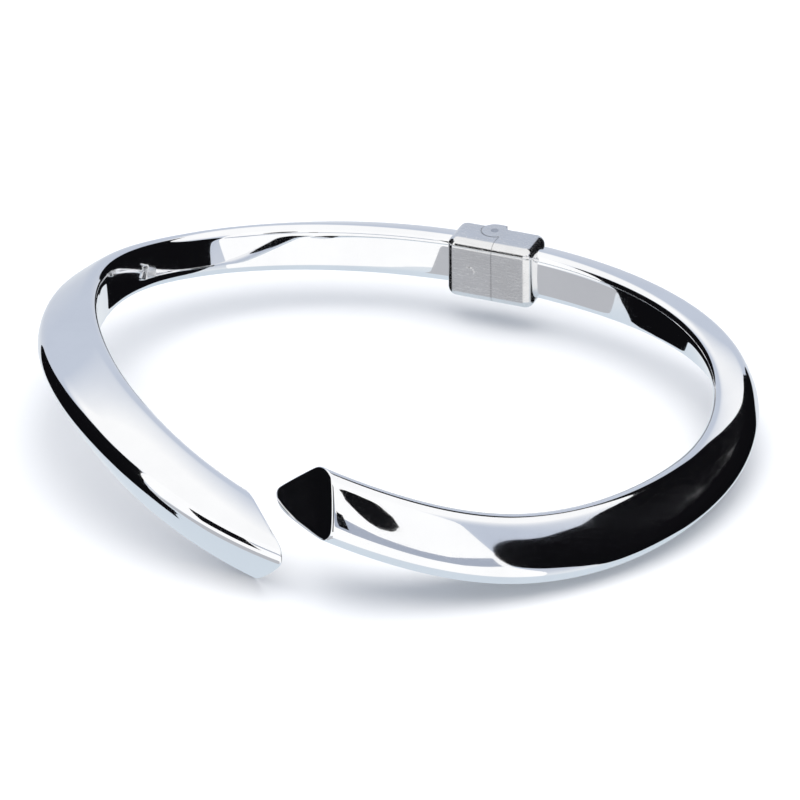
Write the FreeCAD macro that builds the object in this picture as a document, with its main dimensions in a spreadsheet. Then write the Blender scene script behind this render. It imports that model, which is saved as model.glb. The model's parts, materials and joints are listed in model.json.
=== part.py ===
"""Hinged bypass bangle bracelet: two hollow twisting arms, joined at the back by a sprung box hinge.

Frame: origin at the centre of the wrist opening, +X to the wearer's right, +Y back to the hinge, +Z up.
The arms are one shape, turned half a turn about Y, and their ends face each other across an oblique slit.
"""

import FreeCAD, Part
import math
import os

import Sketcher

Vector = FreeCAD.Vector

DIMENSIONS = {
    # Path of an arm, seen from above: an egg-shaped oval, from the hinge round to the open front.
    "half_width": 32.0,
    "half_depth": 26.45,
    "egg_linear": 0.12,
    "egg_square": 0.06,
    "start_angle": 83.0,
    "end_angle": -91.3,
    # Height of the path at the hinge, at three places between, and at the end.
    "rise_hinge": 0.0,
    "rise_back": -0.4,
    "rise_side": -3.0,
    "rise_front_right": -2.75,
    "rise_end_right": 3.6,
    "rise_front_left": -2.45,
    "rise_end_left": 3.0,
    # Section of an arm at the hinge, at a third and two thirds of its length, and at the end.
    "width_hinge": 3.2,
    "width_back": 3.8,
    "width_front_right": 5.7,
    "width_end_right": 5.05,
    "width_front_left": 5.85,
    "width_end_left": 5.55,
    "height_hinge": 5.15,
    "height_back": 4.5,
    "height_front_right": 6.15,
    "height_end_right": 7.45,
    "height_front_left": 6.9,
    "height_end_left": 6.7,
    "roll_hinge": 0.0,
    "roll_back": -22.0,
    "roll_front_right": 21.5,
    "roll_end_right": 17.0,
    "roll_front_left": 26.0,
    "roll_end_left": 31.0,
    "corner_hinge": 0.95,
    "corner_end": 1.15,
    "outer_side": 0.8,
    "ridge_start": 0.7,
    "ridge_flat": 0.05,
    "wall": 0.5,
    # The faces that end the arms, each as on the right arm: which way it looks, and how far back it is.
    "end_azimuth_right": 235.5,
    "end_azimuth_left": 228.0,
    "end_elevation_right": 18.5,
    "end_elevation_left": 12.0,
    "setback_right": 4.6,
    "setback_left": 2.1,
    "cap_thickness": 0.6,
    # Hinge box.
    "box_length": 9.0,
    "box_depth": 4.5,
    "box_height": 6.5,
    "box_centre": 0.95,
    "box_inner": 23.45,
    "box_round": 0.95,
    "box_wall": 0.5,
    "trim_size": 12.0,
    "trim_margin": 2.0,
    "end_wall": 0.6,
    "seam_place": 1.2,
    "seam_gap": 0.04,
    # Hinge inside the box.
    "pin_across": 0.4,
    "pin_radius": 0.4,
    "pin_clearance": 0.03,
    "knuckle_radius": 1.3,
    "socket_clearance": 0.08,
    "lip_place": -0.8,
    "inner_knuckle": 1.0,
    "knuckle_low": 1.15,
    "knuckle_high": 2.15,
    "knuckle_gap": 0.1,
    "leaf_plate": 0.8,
    "web_low": 0.6,
    "web_depth": 1.2,
    "web_length": 1.6,
    "nose_reach": 1.45,
    "nose_radius": 0.35,
    "nose_angle": 215.0,
    # Hairpin spring and its rivet.
    "spring_sheet": 0.2,
    "spring_width": 2.0,
    "spring_height": 1.5,
    "spring_bend": -2.1,
    "spring_low_end": -0.3,
    "spring_tip": -0.2,
    "rivet_place": -1.05,
    "rivet_radius": 0.3,
    "rivet_head": 0.5,
    "rivet_crown": 0.12,
}

# Each arm is lofted a little past both of its ends, then trimmed.
FIRST = -0.02
LAST = 1.06
SECTIONS = 16
STATIONS = [FIRST + (LAST - FIRST) * step / (SECTIONS - 1) for step in range(SECTIONS)]
CUTTER = 24.0

doc = FreeCAD.newDocument("BangleBracelet")


def make_sheet():
    """The spreadsheet of driving dimensions, in millimetres and degrees."""
    sheet = doc.addObject("Spreadsheet::Sheet", "Dimensions")
    for row, (name, value) in enumerate(DIMENSIONS.items(), start=1):
        sheet.set(f"A{row}", name)
        sheet.set(f"B{row}", str(value))
        sheet.setAlias(f"B{row}", name)
    doc.recompute()
    return sheet


sheet = make_sheet()


def size(name):
    """A driving dimension, read from the sheet."""
    return float(sheet.get(name))


def bind(item, expressions):
    """Bind an object's properties to expressions, in which a bare @name stands for a sheet cell."""
    for prop, text in expressions.items():
        item.setExpression(prop, text.replace("@", "Dimensions."))
    return item


# ---------------------------------------------------------------- curves along an arm


def key_weights(count, along):
    """How much each of count evenly spaced key values adds to a smooth curve through them, at 0 to 1."""
    last = count - 1
    first = min(int(max(along, 0) * last), last - 1)
    t = along * last - first
    before = 2 * t**3 - 3 * t**2 + 1
    after = 3 * t**2 - 2 * t**3
    leave = t**3 - 2 * t**2 + t
    arrive = t**3 - t**2
    weights = [0.0] * count
    weights[first] += before
    weights[first + 1] += after
    if first > 0:
        weights[first + 1] += leave / 2
        weights[first - 1] -= leave / 2
    if first + 2 <= last:
        weights[first + 2] += arrive / 2
        weights[first] -= arrive / 2
    else:
        weights[first + 1] += arrive
        weights[first] -= arrive
    return weights


def curve_value(names, along):
    """The value at 0 to 1 of the curve through the named dimensions."""
    weights = key_weights(len(names), along)
    return sum(weight * size(name) for weight, name in zip(weights, names))


def curve_expression(names, along):
    """The same value as an expression on the sheet."""
    weights = key_weights(len(names), along)
    return " + ".join(f"{weight:.6f} * @{name}" for weight, name in zip(weights, names))


def smooth(t):
    """Rises from 0 to 1 with no slope at either end."""
    t = min(max(t, 0.0), 1.0)
    return t * t * (3 - 2 * t)


# The places near the hinge where both arms have the same dimension.
SHARED_PLACES = {
    "rise": ("hinge", "back", "side"),
    "width": ("hinge", "back"),
    "height": ("hinge", "back"),
    "roll": ("hinge", "back"),
}


def keys(kind, side):
    """Names of the dimensions that one curve of an arm runs through, from the hinge to the open end."""
    shared = [f"{kind}_{place}" for place in SHARED_PLACES[kind]]
    return shared + [f"{kind}_front_{side}", f"{kind}_end_{side}"]


def path_point(side, along):
    """A point on an arm's centreline, from 0 at the hinge to 1 at the end, laid out as on the right arm."""
    angle = math.radians(size("start_angle") + along * (size("end_angle") - size("start_angle")))
    lean = math.sin(angle)
    egg = 1 + size("egg_linear") * lean + size("egg_square") * lean**2
    x = size("half_width") * math.cos(angle) * egg
    y = size("half_depth") * lean
    return Vector(x, y, curve_value(keys("rise", side), along))


def path_frame(side, along):
    """Outward, upward and forward directions of an arm's centreline, laid out as on the right arm."""
    step = 1e-4
    forward = (path_point(side, along + step) - path_point(side, along - step)).normalize()
    outward = Vector(-forward.y, forward.x, 0).normalize()
    upward = forward.cross(outward)
    return outward, upward, forward


HALF_TURN = FreeCAD.Rotation(Vector(0, 1, 0), 180)


def turned(side, placement):
    """The placement itself on the right arm, and half a turn about Y on the left one."""
    if side == "right":
        return placement
    return FreeCAD.Placement(Vector(), HALF_TURN).multiply(placement)


def station_placement(side, along):
    """Where the section at that place stands: its x outward and its y upward, before it is rolled."""
    outward, upward, forward = path_frame(side, along)
    square = FreeCAD.Rotation(outward, upward, forward, "XYZ")
    roll = FreeCAD.Rotation(Vector(0, 0, 1), -curve_value(keys("roll", side), along))
    return turned(side, FreeCAD.Placement(path_point(side, along), square.multiply(roll)))


# ---------------------------------------------------------------- arms


def rounded_outline(sketch, corners, radius):
    """Four arcs about the corners, joined by tangent lines, counterclockwise. Arcs are edges 0 to 3."""
    normals = []
    for start, end in zip(corners, corners[1:] + corners[:1]):
        along = (end - start).normalize()
        normals.append(Vector(along.y, -along.x, 0))
    for index, corner in enumerate(corners):
        first = normals[index - 1]
        last = normals[index]
        turn = math.atan2(last.y, last.x)
        start = math.atan2(first.y, first.x)
        if turn < start:
            turn += 2 * math.pi
        circle = Part.Circle(corner, Vector(0, 0, 1), radius)
        sketch.addGeometry(Part.ArcOfCircle(circle, start, turn), False)
    count = len(corners)
    for index, normal in enumerate(normals):
        start = corners[index] + normal * radius
        end = corners[(index + 1) % count] + normal * radius
        sketch.addGeometry(Part.LineSegment(start, end), False)
    for index in range(count):
        line = count + index
        following = (index + 1) % count
        sketch.addConstraint(Sketcher.Constraint("Tangent", index, 2, line, 1))
        sketch.addConstraint(Sketcher.Constraint("Tangent", line, 2, following, 1))


def section_sketch(side, kind, number, along):
    """One section of an arm: a rounded block at the hinge, and farther on a rounded triangle."""
    radius = size("corner_hinge") + (size("corner_end") - size("corner_hinge")) * smooth(along)
    widths = keys("width", side)
    heights = keys("height", side)
    across = curve_value(widths, along) / 2 - radius
    tall = curve_value(heights, along) / 2 - radius
    open_part = 1 - smooth(along / size("ridge_start"))
    ratio = size("ridge_flat") + (size("outer_side") - size("ridge_flat")) * open_part
    inset = size("wall") if kind == "bore" else 0.0
    corners = [
        Vector(-across, -tall, 0),
        Vector(across, -tall * ratio, 0),
        Vector(across, tall * ratio, 0),
        Vector(-across, tall, 0),
    ]
    sketch = doc.addObject("Sketcher::SketchObject", f"{side}_{kind}_section_{number}")
    sketch.Placement = station_placement(side, along)
    rounded_outline(sketch, corners, radius - inset)

    corner = f"(@corner_hinge + (@corner_end - @corner_hinge) * {smooth(along):.6f})"
    across_text = f"(({curve_expression(widths, along)}) / 2 - {corner})"
    tall_text = f"(({curve_expression(heights, along)}) / 2 - {corner})"
    ratio_text = f"(@ridge_flat + (@outer_side - @ridge_flat) * {open_part:.6f})"
    radius_text = f"{corner} - @wall" if kind == "bore" else corner
    for index, point in enumerate(corners):
        flat = across_text if point.x > 0 else f"-{across_text}"
        high = tall_text if point.x < 0 else f"{tall_text} * {ratio_text}"
        high = high if point.y > 0 else f"-{high}"
        values = {
            f"across_{index}": ("DistanceX", point.x, flat),
            f"high_{index}": ("DistanceY", point.y, high),
        }
        for name, (form, value, text) in values.items():
            key = sketch.addConstraint(Sketcher.Constraint(form, -1, 1, index, 3, value))
            sketch.renameConstraint(key, name)
            bind(sketch, {f"Constraints.{name}": text})
        key = sketch.addConstraint(Sketcher.Constraint("Radius", index, radius - inset))
        sketch.renameConstraint(key, f"radius_{index}")
        bind(sketch, {f"Constraints.radius_{index}": radius_text})
    return sketch


def loft(side, kind):
    """A solid through the sections of one arm."""
    body = doc.addObject("Part::Loft", f"{side}_{kind}")
    body.Sections = [
        section_sketch(side, kind, number, along) for number, along in enumerate(STATIONS)
    ]
    body.Solid = True
    body.Ruled = False
    body.MaxDegree = 3
    return body


def combine(form, name, base, tool):
    """A Part::Cut, Part::Fuse or Part::Common of two objects."""
    result = doc.addObject(f"Part::{form}", name)
    result.Base = base
    result.Tool = tool
    return result


def end_plane(side):
    """A point on the face that ends an arm, and that face's outward direction."""
    azimuth = math.radians(size(f"end_azimuth_{side}"))
    elevation = math.radians(size(f"end_elevation_{side}"))
    outward = Vector(
        math.cos(azimuth) * math.cos(elevation),
        math.sin(azimuth) * math.cos(elevation),
        math.sin(elevation),
    )
    forward = path_frame(side, 1.0)[2]
    point = path_point(side, 1.0) - forward * size(f"setback_{side}")
    if side == "left":
        return HALF_TURN.multVec(point), outward * -1
    return point, outward


def end_block(side, name, start, thickness):
    """A square block across the end of an arm, its near face start beyond the end face."""
    point, outward = end_plane(side)
    block = doc.addObject("Part::Box", name)
    block.Length = CUTTER
    block.Width = CUTTER
    block.Height = thickness
    square = FreeCAD.Rotation(Vector(0, 0, 1), outward)
    corner = point + outward * start + square.multVec(Vector(-CUTTER / 2, -CUTTER / 2, 0))
    block.Placement = FreeCAD.Placement(corner, square)
    return block


def hinge_trim(side):
    """A block that holds the hinge box, so that what is left of an arm starts at the box's end face."""
    block = doc.addObject("Part::Box", f"{side}_hinge_trim")
    start = "@box_centre - @box_length / 2"
    if side == "right":
        start = "@box_centre + @box_length / 2 - @trim_size"
    bind(
        block,
        {
            "Length": "@trim_size",
            "Width": "@trim_size",
            "Height": "@trim_size",
            "Placement.Base.x": start,
            "Placement.Base.y": "@box_inner - @trim_margin",
            "Placement.Base.z": "-@trim_size / 2",
        },
    )
    return block


def make_arm(side):
    """The hollow tube of one arm, and the solid cap that closes its open end."""
    blank = combine("Cut", f"{side}_trimmed", loft(side, "skin"), hinge_trim(side))
    thickness = size("cap_thickness")
    beyond = end_block(side, f"{side}_tube_trim", -thickness, CUTTER)
    stopped = combine("Cut", f"{side}_stopped", blank, beyond)
    tube = combine("Cut", f"{side}_arm_tube", stopped, loft(side, "bore"))
    slab = end_block(side, f"{side}_cap_slab", -thickness, thickness)
    cap = combine("Common", f"{side}_end_cap", blank, slab)
    return [tube, cap]


# ---------------------------------------------------------------- hinge box


def block(name, low, high):
    """A Part::Box between two corners, each given as three expressions."""
    item = doc.addObject("Part::Box", name)
    expressions = {}
    for letter, prop, start, end in zip("xyz", ("Length", "Width", "Height"), low, high):
        expressions[prop] = f"({end}) - ({start})"
        expressions[f"Placement.Base.{letter}"] = start
    return bind(item, expressions)


def round_bar(name, radius, low, high, x="@pin_across", y=None):
    """An upright Part::Cylinder, about the hinge pin unless x and y say otherwise."""
    item = doc.addObject("Part::Cylinder", name)
    return bind(
        item,
        {
            "Radius": radius,
            "Height": f"({high}) - ({low})",
            "Placement.Base.x": x,
            "Placement.Base.y": y or PIN_Y,
            "Placement.Base.z": low,
        },
    )


def join(name, items):
    """One solid from several that overlap."""
    result = doc.addObject("Part::MultiFuse", name)
    result.Shapes = items
    result.Refine = True
    return result


def without(name, base, tools):
    """A solid with several others cut away."""
    result = base
    for number, tool in enumerate(tools[:-1]):
        result = combine("Cut", f"{name}_cut_{number}", result, tool)
    result = combine("Cut", name, result, tools[-1])
    result.Refine = True
    return result


BOX_LEFT = "@box_centre - @box_length / 2"
BOX_RIGHT = "@box_centre + @box_length / 2"
BOX_OUTER = "@box_inner + @box_depth"
BOX_TOP = "@box_height / 2"
PIN_Y = f"{BOX_OUTER} - @knuckle_radius"
ROOM_INNER = "@box_inner + @box_wall"
ROOM_OUTER = f"{BOX_OUTER} - @box_wall"
ROOM_TOP = f"{BOX_TOP} - @box_wall"
# Tools that cut right through the box start and stop this far from the middle of the bangle.
FAR = "40"
# How far a cutting tool, or a piece that is fused on, runs into its neighbour.
OVERLAP = "1"
BITE = "0.01"


def rounded_box(side):
    """The whole hinge box with its twelve edges rounded, before it is parted at the seam."""
    low = (BOX_LEFT, "@box_inner", f"-{BOX_TOP}")
    box = block(f"{side}_box_blank", low, (BOX_RIGHT, BOX_OUTER, BOX_TOP))
    doc.recompute()
    rounded = doc.addObject("Part::Fillet", f"{side}_box_rounded")
    rounded.Base = box
    radius = size("box_round")
    rounded.Edges = [(number, radius, radius) for number in range(1, len(box.Shape.Edges) + 1)]
    return rounded


def make_left_box():
    """The left casing: hollow, open at the seam, with a round socket for the knuckles and a short lip."""
    away = block("left_far_half", ("@seam_place", "0", f"-{FAR}"), (FAR, FAR, FAR))
    low = (f"{BOX_LEFT} + @end_wall", ROOM_INNER, f"-({ROOM_TOP})")
    room = block("left_room", low, (f"@seam_place + {OVERLAP}", ROOM_OUTER, ROOM_TOP))
    socket = round_bar("left_socket", "@knuckle_radius + @socket_clearance", f"-{FAR}", FAR)
    lip = block("left_lip_trim", ("@lip_place", PIN_Y, f"-{FAR}"), (FAR, FAR, FAR))
    hole = rivet_bar(
        "left_rivet_hole", "@rivet_radius", f"@box_inner - {OVERLAP}", f"{ROOM_INNER} + {OVERLAP}"
    )
    return without("left_hinge_box", rounded_box("left"), [away, room, socket, lip, hole])


def make_right_box():
    """The right casing: hollow, open at the seam, where the hinge leaf closes it."""
    start = "@seam_place + @seam_gap"
    away = block("right_far_half", (f"-{FAR}", "0", f"-{FAR}"), (start, FAR, FAR))
    high = (f"{BOX_RIGHT} - @end_wall", ROOM_OUTER, ROOM_TOP)
    room = block("right_room", (f"@seam_place - {OVERLAP}", ROOM_INNER, f"-({ROOM_TOP})"), high)
    return without("right_hinge_box", rounded_box("right"), [away, room])


# ---------------------------------------------------------------- hinge leaves, pin, spring and rivet


def levels(kind):
    """Bottom and top of each knuckle of that leaf: three on the right leaf and two on the left."""
    if kind == "left":
        return [("-@knuckle_high", "-@knuckle_low"), ("@knuckle_low", "@knuckle_high")]
    return [
        (f"-{BOX_TOP}", "-@knuckle_high - @knuckle_gap"),
        ("-@knuckle_low + @knuckle_gap", "@knuckle_low - @knuckle_gap"),
        ("@knuckle_high + @knuckle_gap", BOX_TOP),
    ]


def make_left_leaf():
    """Two knuckles on webs that run back to a plate inside the left casing."""
    back = f"{BOX_LEFT} + @end_wall"
    corner = (back, f"{PIN_Y} - @web_low", "-@knuckle_high")
    far_corner = (f"{back} + @web_length", ROOM_OUTER, "@knuckle_high")
    pieces = [block("left_leaf_plate", corner, far_corner)]
    for number, (low, high) in enumerate(levels("left")):
        pieces.append(round_bar(f"left_knuckle_{number}", "@inner_knuckle", low, high))
        web_low = (back, f"{PIN_Y} - @web_low", low)
        web_high = ("@pin_across", f"{PIN_Y} - @web_low + @web_depth", high)
        pieces.append(block(f"left_web_{number}", web_low, web_high))
    bore = round_bar("left_bore", "@pin_radius + @pin_clearance", f"-{FAR}", FAR)
    return without("left_hinge_leaf", join("left_leaf_blank", pieces), [bore])


def make_right_leaf(casing):
    """An end plate with three knuckles, fitted to its casing. The middle one has a nose for the spring."""
    start = "@seam_place + @seam_gap"
    corner = (start, ROOM_INNER, f"-({ROOM_TOP})")
    far_corner = (f"{start} + @leaf_plate", ROOM_OUTER, ROOM_TOP)
    pieces = [block("right_leaf_plate", corner, far_corner)]
    for number, (low, high) in enumerate(levels("right")):
        pieces.append(round_bar(f"right_knuckle_{number}", "@knuckle_radius", low, high))
        corner = ("@pin_across", PIN_Y, low)
        pieces.append(block(f"right_knuckle_back_{number}", corner, (start, BOX_OUTER, high)))
        inner = ("@pin_across", f"{PIN_Y} - @inner_knuckle", low)
        root = (f"{start} + {BITE}", PIN_Y, high)
        pieces.append(block(f"right_knuckle_root_{number}", inner, root))
    low, high = levels("right")[1]
    nose_x = "@pin_across + @nose_reach * cos(@nose_angle)"
    nose_y = f"{PIN_Y} + @nose_reach * sin(@nose_angle)"
    pieces.append(round_bar("right_cam_nose", "@nose_radius", low, high, nose_x, nose_y))
    tools = [round_bar("right_bore_hole", "@pin_radius", f"-{FAR}", FAR)]
    reach = "@inner_knuckle + @socket_clearance"
    for number, (low, high) in enumerate(levels("left")):
        bottom = f"{low} - @knuckle_gap"
        top = f"{high} + @knuckle_gap"
        tools.append(round_bar(f"right_slot_{number}", reach, bottom, top))
    tools.append(casing)
    return without("right_hinge_leaf", join("right_leaf_blank", pieces), tools)


def make_pin():
    """The hinge pin, its ends flush with the top and bottom of the box."""
    return round_bar("hinge_pin", "@pin_radius", f"-{BOX_TOP}", BOX_TOP)


def rivet_bar(name, radius, inner, outer):
    """A Part::Cylinder that lies along Y at the rivet."""
    item = doc.addObject("Part::Cylinder", name)
    bind(item, {"Radius": radius, "Height": f"({outer}) - ({inner})"})
    item.Placement.Rotation = FreeCAD.Rotation(Vector(1, 0, 0), -90)
    return bind(item, {"Placement.Base.x": "@rivet_place", "Placement.Base.y": inner})


def make_rivet():
    """The rivet that holds the spring: a low outer head, a shank and an inner head."""
    leg_top = f"{ROOM_INNER} + @spring_sheet"
    pieces = [
        rivet_bar("rivet_outer_head", "@rivet_head", "@box_inner - @rivet_crown", "@box_inner"),
        rivet_bar("rivet_shank", "@rivet_radius", "@box_inner", leg_top),
        rivet_bar("rivet_inner_head", "@rivet_head", leg_top, f"{leg_top} + @rivet_crown"),
    ]
    return join("spring_rivet", pieces)


def make_spring():
    """A hairpin strip: its lower leg lies on the inner wall and its upper leg bears on the cam nose."""
    body = doc.addObject("PartDesign::Body", "spring_body")
    sketch = body.newObject("Sketcher::SketchObject", "spring_profile")
    origin = body.Origin.OriginFeatures
    sketch.AttachmentSupport = [(next(plane for plane in origin if plane.Role == "XY_Plane"), "")]
    sketch.MapMode = "FlatFace"
    floor = size("box_inner") + size("box_wall")
    outer = size("spring_height") / 2
    inner = outer - size("spring_sheet")
    bend = Vector(size("spring_bend"), floor + outer, 0)
    tip = size("spring_tip")
    low_end = size("spring_low_end")
    axis = Vector(0, 0, 1)

    def line(x0, y0, x1, y1):
        return Part.LineSegment(Vector(x0, y0, 0), Vector(x1, y1, 0))

    sketch.addGeometry(
        [
            Part.ArcOfCircle(Part.Circle(bend, axis, outer), math.pi / 2, 3 * math.pi / 2),
            line(bend.x, bend.y - outer, low_end, bend.y - outer),
            line(low_end, bend.y - outer, low_end, bend.y - inner),
            line(low_end, bend.y - inner, bend.x, bend.y - inner),
            Part.ArcOfCircle(Part.Circle(bend, axis, inner), math.pi / 2, 3 * math.pi / 2),
            line(bend.x, bend.y + inner, tip, bend.y + inner),
            line(tip, bend.y + inner, tip, bend.y + outer),
            line(tip, bend.y + outer, bend.x, bend.y + outer),
        ],
        False,
    )
    constraints = [
        ("Tangent", 0, 2, 1, 1),
        ("Coincident", 1, 2, 2, 1),
        ("Coincident", 2, 2, 3, 1),
        ("Tangent", 3, 2, 4, 2),
        ("Tangent", 4, 1, 5, 1),
        ("Coincident", 5, 2, 6, 1),
        ("Coincident", 6, 2, 7, 1),
        ("Tangent", 7, 2, 0, 1),
        ("Coincident", 0, 3, 4, 3),
        ("Horizontal", 1),
        ("Vertical", 2),
        ("Vertical", 6),
    ]
    for values in constraints:
        sketch.addConstraint(Sketcher.Constraint(*values))
    named = {
        "bend_across": (("DistanceX", -1, 1, 0, 3, bend.x), "@spring_bend"),
        "bend_back": (("DistanceY", -1, 1, 0, 3, bend.y), f"{ROOM_INNER} + @spring_height / 2"),
        "outer_radius": (("Radius", 0, outer), "@spring_height / 2"),
        "inner_radius": (("Radius", 4, inner), "@spring_height / 2 - @spring_sheet"),
        "low_end": (("DistanceX", -1, 1, 1, 2, low_end), "@spring_low_end"),
        "tip": (("DistanceX", -1, 1, 7, 1, tip), "@spring_tip"),
    }
    for name, (values, text) in named.items():
        key = sketch.addConstraint(Sketcher.Constraint(*values))
        sketch.renameConstraint(key, name)
        bind(sketch, {f"Constraints.{name}": text})
    pad = body.newObject("PartDesign::Pad", "spring_strip")
    pad.Profile = sketch
    pad.Midplane = True
    bind(pad, {"Length": "@spring_width"})
    body.Tip = pad
    hole = rivet_bar("spring_hole", "@rivet_radius", "@box_inner", f"{ROOM_INNER} + @spring_height / 2")
    return combine("Cut", "leaf_spring", body, hole)


# ---------------------------------------------------------------- assembly


def build():
    """Every sub-part, by the name of its node."""
    parts = {}
    for side in ("left", "right"):
        tube, cap = make_arm(side)
        parts[f"{side}_arm_tube"] = tube
        parts[f"{side}_end_cap"] = cap
    parts["left_hinge_box"] = make_left_box()
    parts["right_hinge_box"] = make_right_box()
    parts["left_hinge_leaf"] = make_left_leaf()
    parts["right_hinge_leaf"] = make_right_leaf(parts["right_hinge_box"])
    parts["hinge_pin"] = make_pin()
    parts["leaf_spring"] = make_spring()
    parts["spring_rivet"] = make_rivet()
    for name, item in parts.items():
        item.Label = name
    return parts


def check(parts):
    """Stop if any object of the document failed, or a sub-part isn't one sound solid."""
    for item in doc.Objects:
        if {"Invalid", "Error"} & set(item.State):
            raise RuntimeError(f"{item.Name} failed: {item.State}")
    for name, item in parts.items():
        shape = item.Shape
        if shape.isNull() or not shape.isValid() or len(shape.Solids) != 1:
            raise RuntimeError(f"{name} is not one valid solid")


def export(parts):
    """Write one STEP file for each sub-part."""
    os.makedirs("parts", exist_ok=True)
    for name, item in parts.items():
        item.Shape.exportStep(f"parts/{name}.step")
        print(f"{name}: {item.Shape.Volume:.2f} mm3")


parts = build()
doc.recompute()
check(parts)
export(parts)
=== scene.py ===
"""Polished silver bypass bangle with a sprung box hinge, on a pale floor in soft studio light.

The frame's origin is the centre of the wrist opening. Lengths here are millimetres until a mesh is made.
"""

import json
import math

import bpy
import numpy as np
from mathutils import Matrix, Vector


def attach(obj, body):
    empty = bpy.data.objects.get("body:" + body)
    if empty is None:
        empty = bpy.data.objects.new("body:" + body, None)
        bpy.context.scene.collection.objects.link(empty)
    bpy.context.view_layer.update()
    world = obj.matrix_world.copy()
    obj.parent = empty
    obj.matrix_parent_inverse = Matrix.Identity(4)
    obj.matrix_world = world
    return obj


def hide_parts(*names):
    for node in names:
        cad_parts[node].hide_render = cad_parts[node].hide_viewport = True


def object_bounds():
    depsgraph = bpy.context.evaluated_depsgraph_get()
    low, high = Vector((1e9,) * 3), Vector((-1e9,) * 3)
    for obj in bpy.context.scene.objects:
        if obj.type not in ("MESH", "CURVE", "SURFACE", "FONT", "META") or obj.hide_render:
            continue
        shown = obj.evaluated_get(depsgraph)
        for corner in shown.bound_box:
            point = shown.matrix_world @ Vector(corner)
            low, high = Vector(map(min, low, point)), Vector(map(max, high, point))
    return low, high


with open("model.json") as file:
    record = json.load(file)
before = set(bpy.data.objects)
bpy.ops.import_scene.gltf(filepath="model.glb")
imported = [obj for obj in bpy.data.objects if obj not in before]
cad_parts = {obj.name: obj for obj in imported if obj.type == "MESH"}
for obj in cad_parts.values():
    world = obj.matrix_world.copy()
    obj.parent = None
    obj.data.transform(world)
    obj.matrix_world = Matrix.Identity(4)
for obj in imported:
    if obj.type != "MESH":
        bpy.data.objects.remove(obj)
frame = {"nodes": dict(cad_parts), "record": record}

CAD_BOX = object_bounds()

MM = 0.001

# Path of an arm, seen from above, and its height at five places from the hinge to the open end.
HALF_WIDTH = 32.0
HALF_DEPTH = 26.45
EGG_LINEAR = 0.12
EGG_SQUARE = 0.06
START_ANGLE = math.radians(83.0)
END_ANGLE = math.radians(-91.3)
RISES = {"right": (0.0, -0.4, -3.0, -2.75, 3.6), "left": (0.0, -0.4, -3.0, -2.45, 3.0)}

# Section of an arm at four places from the hinge to the open end.
WIDTHS = {"right": (3.2, 3.8, 5.7, 5.05), "left": (3.2, 3.8, 5.85, 5.55)}
HEIGHTS = {"right": (5.15, 4.5, 6.15, 7.45), "left": (5.15, 4.5, 6.9, 6.7)}
ROLLS = {"right": (0.0, -22.0, 21.5, 17.0), "left": (0.0, -22.0, 26.0, 31.0)}
CORNER_HINGE = 0.95
CORNER_END = 1.15
OUTER_SIDE = 0.8
RIDGE_START = 0.7
RIDGE_FLAT = 0.05
CROWN = 0.02
CORNER_POINTS = 24
SIDE_POINTS = 40
SMOOTHINGS = 6

# The faces that end the arms: which way each looks, as on the right arm, and how far back it is.
END_AZIMUTHS = {"right": 235.5, "left": 228.0}
END_ELEVATIONS = {"right": 18.5, "left": 12.0}
SETBACKS = {"right": 4.6, "left": 2.1}
DOME = 0.05
RIM = 0.28

# Mesh of an arm. Its rings are square to the path up to STEADY, and lean to meet the end plane after it.
RINGS = 300
AROUND = 132
ROUND_STEPS = 8
CAP_STEPS = 10
HINGE_START = {"right": -0.003, "left": -0.016}
STEADY = 0.86
END_FROM = 0.8
PAST_END = 1.12
FINE_STEPS = 1200


# ---------------------------------------------------------------- curves along an arm


def through(keys, u):
    """A smooth curve through evenly spaced key values, level at its start, at 0 to 1."""
    u = np.asarray(u, float)
    spans = len(keys) - 1
    first = np.clip((u * spans).astype(int), 0, spans - 1)
    t = u * spans - first
    padded = np.array([keys[1], *keys, 2 * keys[-1] - keys[-2]], float)
    before, start, end, after = (padded[first + step] for step in range(4))
    leave = (end - before) / 2
    arrive = (after - start) / 2
    value = (2 * t**3 - 3 * t**2 + 1) * start + (3 * t**2 - 2 * t**3) * end
    return value + (t**3 - 2 * t**2 + t) * leave + (t**3 - t**2) * arrive


def smooth(t):
    """Rises from 0 to 1 with no slope at either end."""
    t = np.clip(t, 0.0, 1.0)
    return t * t * (3 - 2 * t)


def path(side, u):
    """Points on an arm's centreline, both arms laid out as the right one is."""
    angle = START_ANGLE + u * (END_ANGLE - START_ANGLE)
    lean = np.sin(angle)
    egg = 1 + EGG_LINEAR * lean + EGG_SQUARE * lean**2
    return np.stack([HALF_WIDTH * np.cos(angle) * egg, HALF_DEPTH * lean, through(RISES[side], u)], -1)


def unit(v):
    """The same directions with a length of 1."""
    return v / np.linalg.norm(v, axis=-1, keepdims=True)


def path_frame(side, u):
    """Outward, upward and forward directions of an arm's centreline."""
    step = 1e-4
    forward = unit(path(side, u + step) - path(side, u - step))
    outward = unit(np.stack([-forward[..., 1], forward[..., 0], 0 * forward[..., 0]], -1))
    return outward, np.cross(forward, outward), forward


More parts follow.
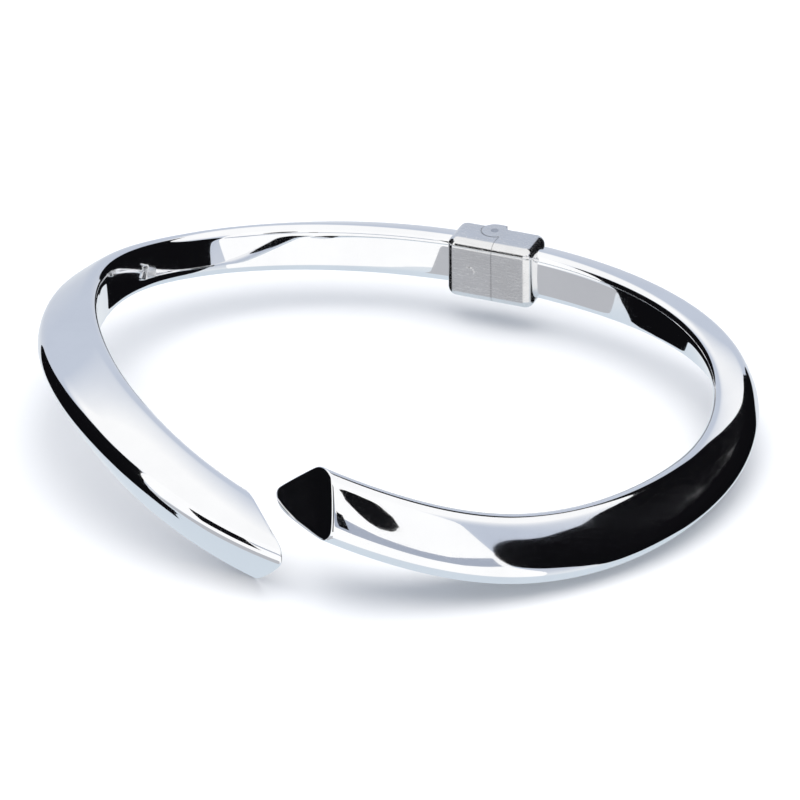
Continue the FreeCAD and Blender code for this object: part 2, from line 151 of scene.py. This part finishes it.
def outline(side, u):
    """One section as AROUND evenly spaced points in its own plane, from the middle of its inner side."""
    radius = float(CORNER_HINGE + (CORNER_END - CORNER_HINGE) * smooth(u))
    across = float(through(WIDTHS[side], u)) / 2 - radius
    tall = float(through(HEIGHTS[side], u)) / 2 - radius
    ratio = RIDGE_FLAT + (OUTER_SIDE - RIDGE_FLAT) * (1 - float(smooth(u / RIDGE_START)))
    corners = np.array(
        [(-across, -tall), (across, -tall * ratio), (across, tall * ratio), (-across, tall)]
    )
    edges = np.roll(corners, -1, 0) - corners
    lengths = np.linalg.norm(edges, axis=1)
    normals = np.stack([edges[:, 1], -edges[:, 0]], 1) / lengths[:, None]
    points = []
    for index in range(4):
        first = math.atan2(normals[index - 1][1], normals[index - 1][0])
        last = math.atan2(normals[index][1], normals[index][0])
        if last < first:
            last += 2 * math.pi
        turn = np.linspace(first, last, CORNER_POINTS)
        points.append(corners[index] + radius * np.stack([np.cos(turn), np.sin(turn)], 1))
        share = np.linspace(0, 1, SIDE_POINTS + 2)[1:-1, None]
        line = corners[index] + share * edges[index] + normals[index] * radius
        points.append(line + normals[index] * (4 * share * (1 - share) * CROWN * lengths[index]))
    loop = np.concatenate(points)
    middle = len(loop) - SIDE_POINTS // 2
    loop = np.roll(loop, -middle, 0)
    closed = np.vstack([loop, loop[:1]])
    run = np.concatenate([[0], np.cumsum(np.linalg.norm(np.diff(closed, axis=0), axis=1))])
    wanted = np.linspace(0, run[-1], AROUND, endpoint=False)
    even = np.stack([np.interp(wanted, run, closed[:, axis]) for axis in (0, 1)], 1)
    for _ in range(SMOOTHINGS):
        even = 0.5 * even + 0.25 * (np.roll(even, 1, 0) + np.roll(even, -1, 0))
    return even


def surface(side, u):
    """Points of an arm's skin, AROUND for each u."""
    outward, upward, _ = path_frame(side, u)
    roll = np.radians(through(ROLLS[side], u))
    flat = np.stack([outline(side, value) for value in u])
    across = flat[..., 0] * np.cos(roll)[:, None] + flat[..., 1] * np.sin(roll)[:, None]
    high = -flat[..., 0] * np.sin(roll)[:, None] + flat[..., 1] * np.cos(roll)[:, None]
    return path(side, u)[:, None] + across[..., None] * outward[:, None] + high[..., None] * upward[:, None]


def end_plane(side):
    """A point on the plane of the arm's end, and its outward direction, both in the right arm's own terms."""
    azimuth = math.radians(END_AZIMUTHS[side])
    elevation = math.radians(END_ELEVATIONS[side])
    level = math.cos(elevation)
    outward = np.array(
        [level * math.cos(azimuth), level * math.sin(azimuth), math.sin(elevation)]
    )
    forward = path_frame(side, np.array([1.0]))[2][0]
    point = path(side, np.array([1.0]))[0] - forward * SETBACKS[side]
    if side == "left":
        outward = outward * (1, -1, 1)
    return point, outward


def end_stops(fine, grid, point, outward):
    """How far along the path each column of the skin runs before the rounded rim of the end starts."""
    slope = unit(np.gradient(grid, axis=0)) @ outward
    past = (grid - point) @ outward + RIM * slope
    stops = np.zeros(AROUND)
    for column in range(AROUND):
        beyond = past[:, column]
        row = int(np.argmax((beyond > 0) & (fine > END_FROM)))
        share = beyond[row - 1] / (beyond[row - 1] - beyond[row])
        stops[column] = fine[row - 1] + share * (fine[row] - fine[row - 1])
    return stops


def closed_end(edge, ahead, point, outward):
    """Rings over the rounded rim and the slightly domed face of the end, and the middle of that face."""
    rim = edge + ahead * RIM
    rim = rim - ((rim - point) @ outward)[:, None] * outward
    centre = rim.mean(0)
    inward = unit(centre - rim)
    rows = []
    for step in range(1, ROUND_STEPS + 1):
        turn = math.pi / 2 * step / ROUND_STEPS
        back = rim - (rim - edge) * (1 - math.sin(turn))
        rows.append(back + inward * RIM * (1 - math.cos(turn)))
    flat = rows[-1]
    for step in range(1, CAP_STEPS):
        share = 1 - step / CAP_STEPS
        rows.append(centre + (flat - centre) * share + outward * DOME * (1 - share**2))
    return rows, centre + outward * DOME


def arm_points(side):
    """Rings of points from the hinge to the middle of the end, in the right arm's own terms."""
    start = HINGE_START[side]
    fine = np.linspace(start, PAST_END, FINE_STEPS)
    grid = surface(side, fine)
    point, outward = end_plane(side)
    stops = end_stops(fine, grid, point, outward)
    columns = np.arange(AROUND)
    rows = []
    for share in np.linspace(0, 1, RINGS):
        common = start + (STEADY - start) * min(share / STEADY, 1.0)
        leaning = max(share - STEADY, 0.0) / (1 - STEADY)
        place = (common + (stops - STEADY) * leaning - fine[0]) / (fine[1] - fine[0])
        low = np.clip(place.astype(int), 0, len(fine) - 2)
        part = (place - low)[:, None]
        rows.append(grid[low, columns] * (1 - part) + grid[low + 1, columns] * part)
    end_rows, tip = closed_end(rows[-1], unit(rows[-1] - rows[-2]), point, outward)
    return np.array(rows + end_rows), tip


def half_turned(points):
    """The left arm's terms from the right arm's: half a turn about Y."""
    return points * (-1, 1, -1)


def new_object(name, vertices, faces, material, body):
    """A smooth-shaded piece from millimetre points, on its body."""
    mesh = bpy.data.meshes.new(name)
    mesh.from_pydata([tuple(v) for v in np.asarray(vertices) * MM], [], faces)
    mesh.validate()
    mesh.polygons.foreach_set("use_smooth", [True] * len(mesh.polygons))
    mesh.materials.append(material)
    piece = bpy.data.objects.new(name, mesh)
    bpy.context.scene.collection.objects.link(piece)
    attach(piece, body)
    return piece


def make_arm(side, material):
    """One arm's polished skin, from inside the hinge box round to the domed end."""
    rows, tip = arm_points(side)
    if side == "left":
        rows, tip = half_turned(rows), half_turned(tip)
    count = len(rows)
    vertices = np.vstack([rows.reshape(-1, 3), rows[0].mean(0)[None], tip[None]])
    faces = []
    for row in range(count - 1):
        for column in range(AROUND):
            following = (column + 1) % AROUND
            a = row * AROUND + column
            b = row * AROUND + following
            faces.append((a, b, b + AROUND, a + AROUND))
    first, last = count * AROUND, count * AROUND + 1
    base = (count - 1) * AROUND
    for column in range(AROUND):
        following = (column + 1) % AROUND
        faces.append((first, following, column))
        faces.append((last, base + column, base + following))
    arm = new_object(f"{side}_arm", vertices, faces, material, f"{side}_half")
    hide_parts(f"{side}_arm_tube", f"{side}_end_cap")


# ---------------------------------------------------------------- materials


class Recipe:
    """A metal material whose nodes are added one at a time."""

    def __init__(self, name, colour, roughness):
        self.material = bpy.data.materials.new(name)
        self.material.use_nodes = True
        self.tree = self.material.node_tree
        self.shader = self.tree.nodes["Principled BSDF"]
        self.shader.inputs["Base Color"].default_value = (*colour, 1)
        self.shader.inputs["Metallic"].default_value = 1.0
        self.shader.inputs["Roughness"].default_value = roughness
        self.place = self.tree.nodes.new("ShaderNodeTexCoord").outputs["Object"]

    def node(self, kind, **values):
        """A node with its inputs set by name; an output given as a value is linked."""
        item = self.tree.nodes.new(kind)
        for name, value in values.items():
            socket = item.inputs[name.replace("_", " ")]
            if isinstance(value, bpy.types.NodeSocket):
                self.tree.links.new(value, socket)
            else:
                socket.default_value = value
        return item

    def stretched(self, scale, turn):
        """The object's own coordinates, turned and scaled."""
        return self.node(
            "ShaderNodeMapping", Vector=self.place, Scale=scale, Rotation=turn
        ).outputs[0]

    def noise(self, where, scale, detail, rough):
        """A value that varies from place to place, with more lumps to the metre for a larger scale."""
        return self.node(
            "ShaderNodeTexNoise", Vector=where, Scale=scale, Detail=detail, Roughness=rough
        ).outputs[0]

    def ramp(self, value, *stops):
        """The value carried through a ramp of greys or colours."""
        item = self.tree.nodes.new("ShaderNodeValToRGB")
        self.tree.links.new(value, item.inputs[0])
        elements = item.color_ramp.elements
        while len(elements) < len(stops):
            elements.new(0.5)
        for element, (position, colour) in zip(elements, stops):
            element.position = position
            element.color = (*colour, 1) if isinstance(colour, tuple) else (colour, colour, colour, 1)
        return item.outputs[0]

    def brighter(self, first, second):
        """The larger of two values."""
        item = self.tree.nodes.new("ShaderNodeMath")
        item.operation = "MAXIMUM"
        self.tree.links.new(first, item.inputs[0])
        self.tree.links.new(second, item.inputs[1])
        return item.outputs[0]

    def finish(self, colour, roughness, bump, depth):
        """The material, with its colour, roughness and relief, whose depth is in metres."""
        relief = self.node("ShaderNodeBump", Height=bump, Strength=1.0, Distance=depth)
        self.tree.links.new(colour, self.shader.inputs["Base Color"])
        self.tree.links.new(roughness, self.shader.inputs["Roughness"])
        self.tree.links.new(relief.outputs[0], self.shader.inputs["Normal"])
        return self.material


# Depth of the relief on polished and on machined metal, in metres.
WAVE_DEPTH = 0.0000012
GRAIN_DEPTH = 0.000004
HAIRLINE_SCALE = 260.0
WAVE_SCALE = 260.0
SCRATCH_DULLING = 2.2


def hairlines(recipe, turn, thin):
    """Short, thin, straight scratches that run one way: bright where there is one."""
    where = recipe.stretched((1.0, 14.0, 14.0), turn)
    lines = recipe.noise(where, HAIRLINE_SCALE, 2.0, 0.6)
    return recipe.ramp(lines, (0.0, 0.0), (0.5 - thin, 0.0), (0.5, 1.0), (0.5 + thin, 0.0), (1.0, 0.0))


def polished_metal(name, tone, worn_tone, clean, worn):
    """Hand-polished metal: hairlines, a few hazy patches and a faint waviness of the surface."""
    recipe = Recipe(name, tone, clean)
    first = hairlines(recipe, (0.3, 0.2, 0.5), 0.012)
    second = hairlines(recipe, (1.1, 0.7, 1.9), 0.010)
    lines = recipe.brighter(first, second)
    haze = recipe.noise(recipe.place, 120.0, 4.0, 0.6)
    patches = recipe.ramp(haze, (0.42, clean), (0.72, worn))
    scratched = recipe.ramp(lines, (0.2, clean), (1.0, worn * SCRATCH_DULLING))
    roughness = recipe.brighter(patches, scratched)
    colour = recipe.ramp(haze, (0.35, tone), (0.75, worn_tone))
    waves = recipe.noise(recipe.place, WAVE_SCALE, 2.0, 0.5)
    return recipe.finish(colour, roughness, waves, WAVE_DEPTH)


def machined_metal(name, tone, dull_tone, smooth_finish, rough_finish, turn):
    """Metal left as the file or the rolling mill made it, with fine parallel marks."""
    recipe = Recipe(name, tone, smooth_finish)
    grain = recipe.noise(recipe.stretched((1.0, 30.0, 1.0), turn), 900.0, 4.0, 0.7)
    blot = recipe.noise(recipe.place, 500.0, 3.0, 0.6)
    roughness = recipe.ramp(grain, (0.3, smooth_finish), (0.7, rough_finish))
    colour = recipe.ramp(blot, (0.3, dull_tone), (0.7, tone))
    return recipe.finish(colour, roughness, grain, GRAIN_DEPTH)


METALS = {
    "polished_silver": polished_metal(
        "polished_silver", (0.95, 0.955, 0.965), (0.90, 0.905, 0.92), 0.012, 0.05
    ),
    "hinge_silver": polished_metal(
        "hinge_silver", (0.86, 0.86, 0.865), (0.72, 0.715, 0.715), 0.12, 0.26
    ),
    "inner_silver": machined_metal(
        "inner_silver", (0.74, 0.73, 0.71), (0.60, 0.585, 0.56), 0.28, 0.45, (0.0, 0.0, 0.3)
    ),
    "spring_steel": machined_metal(
        "spring_steel", (0.60, 0.61, 0.63), (0.50, 0.51, 0.54), 0.16, 0.28, (1.2, 0.0, 0.0)
    ),
}


for side in ("left", "right"):
    make_arm(side, METALS["polished_silver"])
for part in frame["record"]["subparts"]:
    node = frame["nodes"][part["node"]]
    node.material_slots[0].material = METALS[part["material_slot"]]


# ---------------------------------------------------------------- floor, light and camera

CAMERA_AZIMUTH = math.radians(22.5)
CAMERA_ELEVATION = math.radians(30.36)
CAMERA_ROLL = math.radians(-0.83)
CAMERA_DISTANCE = 490.5
VIEW_WIDTH = 75.3296
AIM = (1.07, -1.275)
SENSOR = 36.0

WHITE = (1.0, 1.0, 1.0)
BLACK = (0.004, 0.004, 0.005)

MIDDLE = (0.0, 0.0, 0.0)
RIGHT_SIDE = (33.0, -5.0, -2.0)
PANEL_STEP = 1.0
PANEL_ROWS = 16
FLOOR_REACH = 4.0
SOFTBOX_SIZE = 2.4
SOFTBOX_HEIGHT = 1.8
SOFTBOX_POWER = 24.0

# Panels of the light tent: colour, brightness, distance in metres, the point they are laid out from, and then
# azimuth, lowest and highest elevation in degrees, corner by corner.
PANELS = {
    "white_front": (
        WHITE,
        1.06,
        3.0,
        MIDDLE,
        [(-138, -12, 56), (-112, -20, 58), (-101, -34, 58), (-60, -36, 60), (-29, -36, 58)],
    ),
    "grey_front": ((0.50, 0.51, 0.54), 1.0, 2.99, MIDDLE, [(-150, -48, -20), (-101, -44, -16)]),
    "dark_right": (
        BLACK,
        1.0,
        2.97,
        MIDDLE,
        [
            (-29.5, 28.6, 29.6), (-28, 25, 31.8), (-25, 18, 33.6), (-22, 12, 34.8), (-19, -5, 35.6),
            (-12, -26, 36.8), (-6, -35, 38.2), (2, -40, 39.8), (12, -42, 42.2), (22, -43, 44.8),
            (34, -44, 47.2), (48, -45, 48.4), (60, -42, 49.4), (70, -34, 50.4), (76, -20, 50.6),
            (81, 10, 50.2),
        ],
    ),
    "dark_back": (
        BLACK,
        1.0,
        0.3,
        RIGHT_SIDE,
        [(78, 20, 50.8), (86, 34, 51.2), (93, 40, 50.8), (97, 44, 50.4), (99.5, 47.6, 50)],
    ),
    "dark_left": (
        BLACK,
        1.0,
        2.94,
        MIDDLE,
        [
            (147, -34, -10), (150, -44, 4), (156, -47.5, 16), (163, -52, 30), (175, -51.5, 42),
            (186, -50, 45), (198, -45, 44), (206, -36, 44), (212, -26, 44), (218, -10, 44), (222, 10, 40),
        ],
    ),
    "dark_strip": (BLACK, 1.0, 2.93, MIDDLE, [(-119, 5, 31), (-102, 8, 33)]),
    "dark_camera": (
        BLACK,
        1.0,
        2.88,
        MIDDLE,
        [
            (-66.5, 34.4, 38), (-64.9, 32.6, 40.4), (-64, 31.6, 40.6), (-62.4, 30.3, 41.7),
            (-61, 29.6, 41.3), (-59, 29.0, 41.2), (-57, 29.2, 39.7), (-55.4, 29.4, 38.9),
            (-53.6, 30.2, 36.6), (-51.8, 31.8, 34.4),
        ],
    ),
    "dark_stand": (BLACK, 1.0, 2.85, MIDDLE, [(-73.4, 24.2, 29.2), (-70.4, 24.2, 28.6)]),
    "grey_rail": (
        (0.40, 0.44, 0.53),
        1.0,
        2.91,
        MIDDLE,
        [
            (-101, 24, 31), (-86, 23.5, 29.6), (-71, 22.6, 27.6), (-61, 21.6, 26.3),
            (-50, 19.8, 26.0), (-42, 20, 26.3), (-31, 25.4, 28.6),
        ],
    ),
}


def make_camera():
    """A camera that looks down from the front, a little to one side, and past the origin."""
    side = Vector((math.cos(CAMERA_AZIMUTH), math.sin(CAMERA_AZIMUTH), 0))
    back = Vector(
        (
            math.sin(CAMERA_AZIMUTH) * math.cos(CAMERA_ELEVATION),
            -math.cos(CAMERA_AZIMUTH) * math.cos(CAMERA_ELEVATION),
            math.sin(CAMERA_ELEVATION),
        )
    )
    up = back.cross(side)
    right = side * math.cos(CAMERA_ROLL) + up * math.sin(CAMERA_ROLL)
    up = back.cross(right)
    data = bpy.data.cameras.new("camera")
    data.sensor_width = SENSOR
    data.lens = SENSOR * CAMERA_DISTANCE / VIEW_WIDTH
    data.clip_start = 0.01
    data.clip_end = 20.0
    camera = bpy.data.objects.new("camera", data)
    bpy.context.scene.collection.objects.link(camera)
    aim = right * AIM[0] + up * AIM[1]
    turn = Matrix((right, up, back)).transposed().to_4x4()
    camera.matrix_world = Matrix.Translation((aim + back * CAMERA_DISTANCE) * MM) @ turn
    bpy.context.scene.camera = camera


def glow(name, colour, strength):
    """An even light of one colour."""
    material = bpy.data.materials.new(name)
    material.use_nodes = True
    shader = material.node_tree.nodes["Principled BSDF"]
    shader.inputs["Base Color"].default_value = (0, 0, 0, 1)
    shader.inputs["Roughness"].default_value = 1.0
    shader.inputs["Specular IOR Level"].default_value = 0.0
    shader.inputs["Emission Color"].default_value = (*colour, 1)
    shader.inputs["Emission Strength"].default_value = strength
    return material


def make_panel(name, colour, strength, distance, origin, corners):
    """A curved panel of the light tent, seen only in the metal."""
    azimuths = np.array([corner[0] for corner in corners], float)
    steps = np.arange(azimuths[0], azimuths[-1] + PANEL_STEP / 2, PANEL_STEP)
    low = np.interp(steps, azimuths, [corner[1] for corner in corners])
    high = np.interp(steps, azimuths, [corner[2] for corner in corners])
    origin = np.array(origin) * MM
    vertices = []
    for azimuth, bottom, top in zip(np.radians(steps), np.radians(low), np.radians(high)):
        for row in range(PANEL_ROWS + 1):
            rise = bottom + (top - bottom) * row / PANEL_ROWS
            level = math.cos(rise)
            way = (level * math.cos(azimuth), level * math.sin(azimuth), math.sin(rise))
            vertices.append(origin + distance * np.array(way))
    faces = []
    for column in range(len(steps) - 1):
        for row in range(PANEL_ROWS):
            a = column * (PANEL_ROWS + 1) + row
            b = a + PANEL_ROWS + 1
            faces.append((a, b, b + 1, a + 1))
    mesh = bpy.data.meshes.new(name)
    mesh.from_pydata([tuple(v) for v in vertices], [], faces)
    mesh.materials.append(glow(name, colour, strength))
    panel = bpy.data.objects.new(name, mesh)
    bpy.context.scene.collection.objects.link(panel)
    panel.visible_camera = False
    panel.visible_diffuse = False
    panel.visible_shadow = False


def make_floor():
    """A wide pale floor under the lowest point."""
    low = CAD_BOX[0][2]
    corners = ((-1, -1), (1, -1), (1, 1), (-1, 1))
    mesh = bpy.data.meshes.new("floor")
    mesh.from_pydata([(x * FLOOR_REACH, y * FLOOR_REACH, low) for x, y in corners], [], [(0, 1, 2, 3)])
    material = bpy.data.materials.new("floor")
    material.use_nodes = True
    shader = material.node_tree.nodes["Principled BSDF"]
    shader.inputs["Base Color"].default_value = (0.93, 0.93, 0.935, 1)
    shader.inputs["Roughness"].default_value = 0.7
    mesh.materials.append(material)
    floor = bpy.data.objects.new("floor", mesh)
    bpy.context.scene.collection.objects.link(floor)
    floor.visible_glossy = False


# The tent's own shade by height: the sine of the elevation, then the colour.
TENT_SHADES = (
    (-0.80, (0.66, 0.735, 0.81)),
    (-0.66, (0.68, 0.75, 0.82)),
    (-0.50, (0.80, 0.84, 0.88)),
    (0.00, (0.62, 0.66, 0.74)),
    (0.35, (0.56, 0.61, 0.71)),
    (0.62, (0.56, 0.61, 0.71)),
    (0.78, (1.03, 1.03, 1.03)),
)


def make_world():
    """Soft light from all round, whitest from above."""
    world = bpy.data.worlds.new("studio")
    world.use_nodes = True
    tree = world.node_tree
    place = tree.nodes.new("ShaderNodeTexCoord")
    split = tree.nodes.new("ShaderNodeSeparateXYZ")
    spread = tree.nodes.new("ShaderNodeMapRange")
    ramp = tree.nodes.new("ShaderNodeValToRGB")
    spread.inputs["From Min"].default_value = -1
    stops = ramp.color_ramp.elements
    while len(stops) < len(TENT_SHADES):
        stops.new(0.5)
    for stop, (height, colour) in zip(stops, TENT_SHADES):
        stop.position = (height + 1) / 2
        stop.color = (*colour, 1)
    tree.links.new(place.outputs["Generated"], split.inputs[0])
    tree.links.new(split.outputs["Z"], spread.inputs["Value"])
    tree.links.new(spread.outputs[0], ramp.inputs[0])
    tree.links.new(ramp.outputs[0], tree.nodes["Background"].inputs["Color"])
    bpy.context.scene.world = world
    bpy.context.scene.view_settings.view_transform = "Standard"


def make_softbox():
    """A large soft light overhead, which whitens the floor."""
    data = bpy.data.lights.new("softbox", "AREA")
    data.shape = "DISK"
    data.size = SOFTBOX_SIZE
    data.energy = SOFTBOX_POWER
    light = bpy.data.objects.new("softbox", data)
    bpy.context.scene.collection.objects.link(light)
    light.location = (0, 0, SOFTBOX_HEIGHT)
    light.visible_glossy = False


for name, panel in PANELS.items():
    make_panel(name, *panel)
make_softbox()
make_floor()
make_world()
make_camera()
